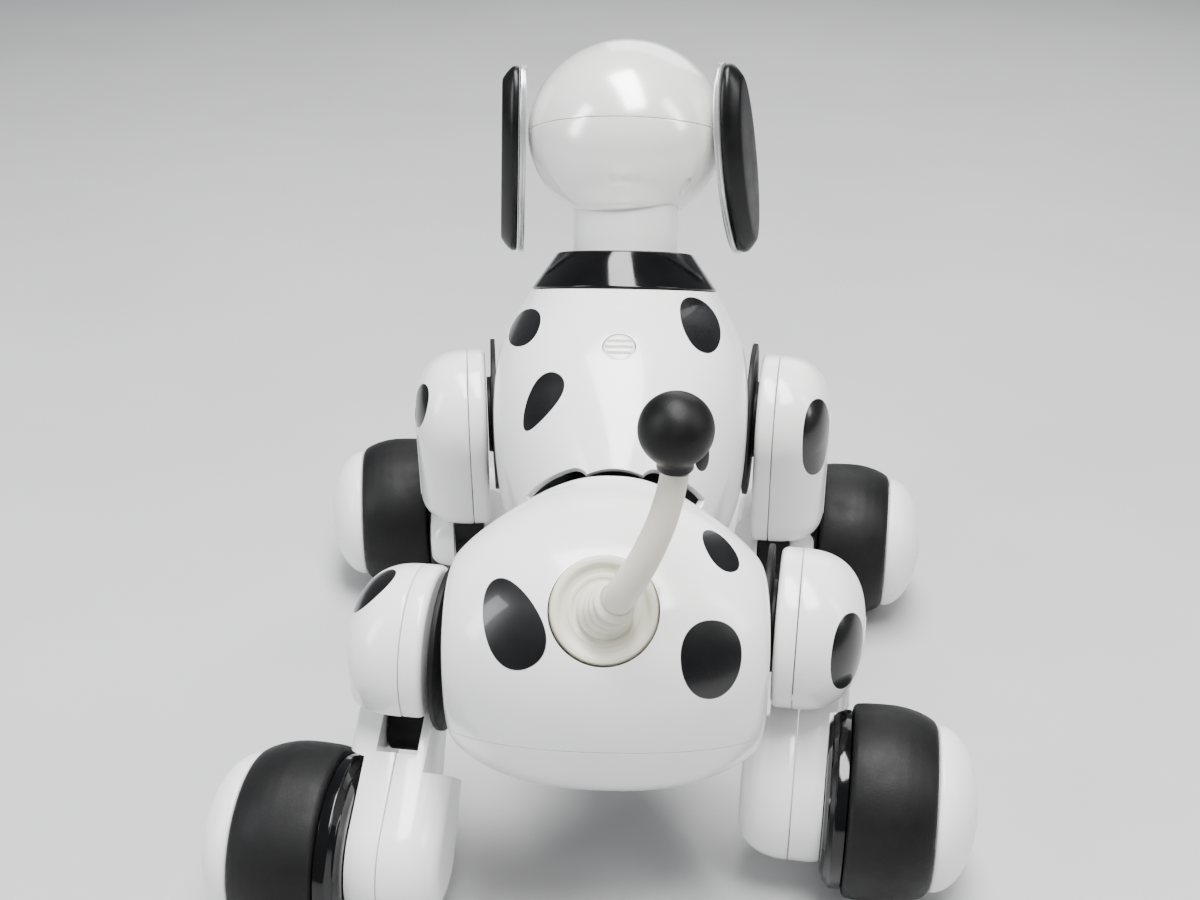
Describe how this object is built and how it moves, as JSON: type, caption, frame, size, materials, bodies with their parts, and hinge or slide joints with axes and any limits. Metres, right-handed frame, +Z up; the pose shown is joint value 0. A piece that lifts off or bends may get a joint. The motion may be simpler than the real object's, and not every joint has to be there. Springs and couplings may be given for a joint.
{
  "type": "robot dog toy",
  "caption": "White spotted robot dog toy: round head on a neck, collar, two-part body on a waist, curved rubber tail and jointed legs with a wheel at each foot.",
  "frame": {"origin": "centre of the bounding box in X and Y, on the floor under the tyres", "axes": "+X to the dog's right, +Y forward to its nose, +Z up"},
  "size_m": [0.222, 0.2599, 0.2079],
  "materials": {
    "white": "gloss",
    "pearl": "pearl gloss",
    "black_gloss": "gloss",
    "black_matt": "matt",
    "dark_grey": "matt",
    "tyre": "matt rubber",
    "cream_rubber": "satin",
    "board": "satin",
    "silver": "metallic paint"
  },
  "bodies": {
    "body": {"chest_upper_shell": "white", "chest_lower_shell": "white", "neck_collar": "black_gloss", "waist_sleeve": "dark_grey", "back_vent": "white", "circuit_board": "board", "rump_upper_shell": "white", "rump_lower_shell": "white", "battery_pack": "dark_grey", "battery_door": "white", "tail_flange": "cream_rubber", "hip_disc_front_right": "black_gloss", "hip_disc_front_left": "black_gloss", "hip_disc_rear_right": "black_gloss", "hip_disc_rear_left": "black_gloss"},
    "head": {"neck_tube": "white", "head_upper_shell": "pearl", "head_lower_shell": "pearl", "face_visor": "black_gloss", "nose_tip": "black_gloss"},
    "ear_right": {"ear_rim_right": "silver", "ear_pad_right": "black_matt"},
    "ear_left": {"ear_rim_left": "silver", "ear_pad_left": "black_matt"},
    "tail": {"tail_stem": "cream_rubber", "tail_ball": "black_matt"},
    "thigh_front_right": {"thigh_inner_front_right": "white", "thigh_outer_front_right": "white", "knee_block_front_right": "black_matt"},
    "foot_front_right": {"foot_inner_front_right": "white", "foot_outer_front_right": "white"},
    "wheel_front_right": {"wheel_hub_front_right": "black_gloss", "tyre_front_right": "tyre", "wheel_cap_front_right": "white"},
    "thigh_front_left": {"thigh_inner_front_left": "white", "thigh_outer_front_left": "white", "knee_block_front_left": "black_matt"},
    "foot_front_left": {"foot_inner_front_left": "white", "foot_outer_front_left": "white"},
    "wheel_front_left": {"wheel_hub_front_left": "black_gloss", "tyre_front_left": "tyre", "wheel_cap_front_left": "white"},
    "thigh_rear_right": {"thigh_inner_rear_right": "white", "thigh_outer_rear_right": "white", "knee_block_rear_right": "black_matt"},
    "foot_rear_right": {"foot_inner_rear_right": "white", "foot_outer_rear_right": "white"},
    "wheel_rear_right": {"wheel_hub_rear_right": "black_gloss", "tyre_rear_right": "tyre", "wheel_cap_rear_right": "white"},
    "thigh_rear_left": {"thigh_inner_rear_left": "white", "thigh_outer_rear_left": "white", "knee_block_rear_left": "black_matt"},
    "foot_rear_left": {"foot_inner_rear_left": "white", "foot_outer_rear_left": "white"},
    "wheel_rear_left": {"wheel_hub_rear_left": "black_gloss", "tyre_rear_left": "tyre", "wheel_cap_rear_left": "white"}
  },
  "joints": [
    {"name": "head_turn", "type": "hinge", "parent": "body", "child": "head", "pos_m": [0.00081, 0.06055, 0.1292], "axis": [0, 0.3987, 0.9171], "range_deg": [-38, 52]},
    {"name": "ear_right_swing", "type": "hinge", "parent": "head", "child": "ear_right", "pos_m": [0.03152, 0.07544, 0.19304], "axis": [0.9398, -0.3145, 0.1338], "range_deg": [-20, 20]},
    {"name": "ear_left_swing", "type": "hinge", "parent": "head", "child": "ear_left", "pos_m": [-0.03303, 0.08271, 0.18988], "axis": [0.9945, 0.0967, -0.0391], "range_deg": [-20, 20]},
    {"name": "tail_wag", "type": "hinge", "parent": "body", "child": "tail", "pos_m": [0.00081, -0.10394, 0.1105], "axis": [0, 0.5736, 0.8192], "range_deg": [-15, 15], "stiffness_Nm_per_rad": 0.25},
    {"name": "hip_front_right", "type": "hinge", "parent": "body", "child": "thigh_front_right", "pos_m": [0.04381, 0.04856, 0.088], "axis": [0.9925, -0.1219, 0], "range_deg": [-25, 25]},
    {"name": "knee_front_right", "type": "hinge", "parent": "thigh_front_right", "child": "foot_front_right", "pos_m": [0.05514, 0.04233, 0.03321], "axis": [0.9925, -0.1219, 0], "range_deg": [-20, 0]},
    {"name": "wheel_spin_front_right", "type": "hinge", "parent": "foot_front_right", "child": "wheel_front_right", "pos_m": [0.06779, 0.07157, 0.028], "axis": [0.9925, -0.1219, 0], "continuous": true},
    {"name": "hip_front_left", "type": "hinge", "parent": "body", "child": "thigh_front_left", "pos_m": [-0.04219, 0.04856, 0.088], "axis": [0.9925, 0.1219, 0], "range_deg": [-30, 20]},
    {"name": "knee_front_left", "type": "hinge", "parent": "thigh_front_left", "child": "foot_front_left", "pos_m": [-0.05515, 0.05563, 0.03368], "axis": [0.9925, 0.1219, 0], "range_deg": [-20, 5]},
    {"name": "wheel_spin_front_left", "type": "hinge", "parent": "foot_front_left", "child": "wheel_front_left", "pos_m": [-0.06779, 0.08478, 0.028], "axis": [0.9925, 0.1219, 0], "continuous": true},
    {"name": "hip_rear_right", "type": "hinge", "parent": "body", "child": "thigh_rear_right", "pos_m": [0.04381, -0.06245, 0.079], "axis": [0.9925, -0.1219, 0], "range_deg": [-25, 20]},
    {"name": "knee_rear_right", "type": "hinge", "parent": "thigh_rear_right", "child": "foot_rear_right", "pos_m": [0.05696, -0.05382, 0.05616], "axis": [0.9925, -0.1219, 0], "range_deg": [-10, 15]},
    {"name": "wheel_spin_rear_right", "type": "hinge", "parent": "foot_rear_right", "child": "wheel_rear_right", "pos_m": [0.06346, -0.07469, 0.028], "axis": [0.9925, -0.1219, 0], "continuous": true},
    {"name": "hip_rear_left", "type": "hinge", "parent": "body", "child": "thigh_rear_left", "pos_m": [-0.04219, -0.07444, 0.077], "axis": [0.9945, -0.1045, 0], "range_deg": [-15, 30]},
    {"name": "knee_rear_left", "type": "hinge", "parent": "thigh_rear_left", "child": "foot_rear_left", "pos_m": [-0.05475, -0.07921, 0.05274], "axis": [0.9945, -0.1045, 0], "range_deg": [-10, 15]},
    {"name": "wheel_spin_rear_left", "type": "hinge", "parent": "foot_rear_left", "child": "wheel_rear_left", "pos_m": [-0.06622, -0.10218, 0.028], "axis": [0.9945, -0.1045, 0], "continuous": true}
  ]
}
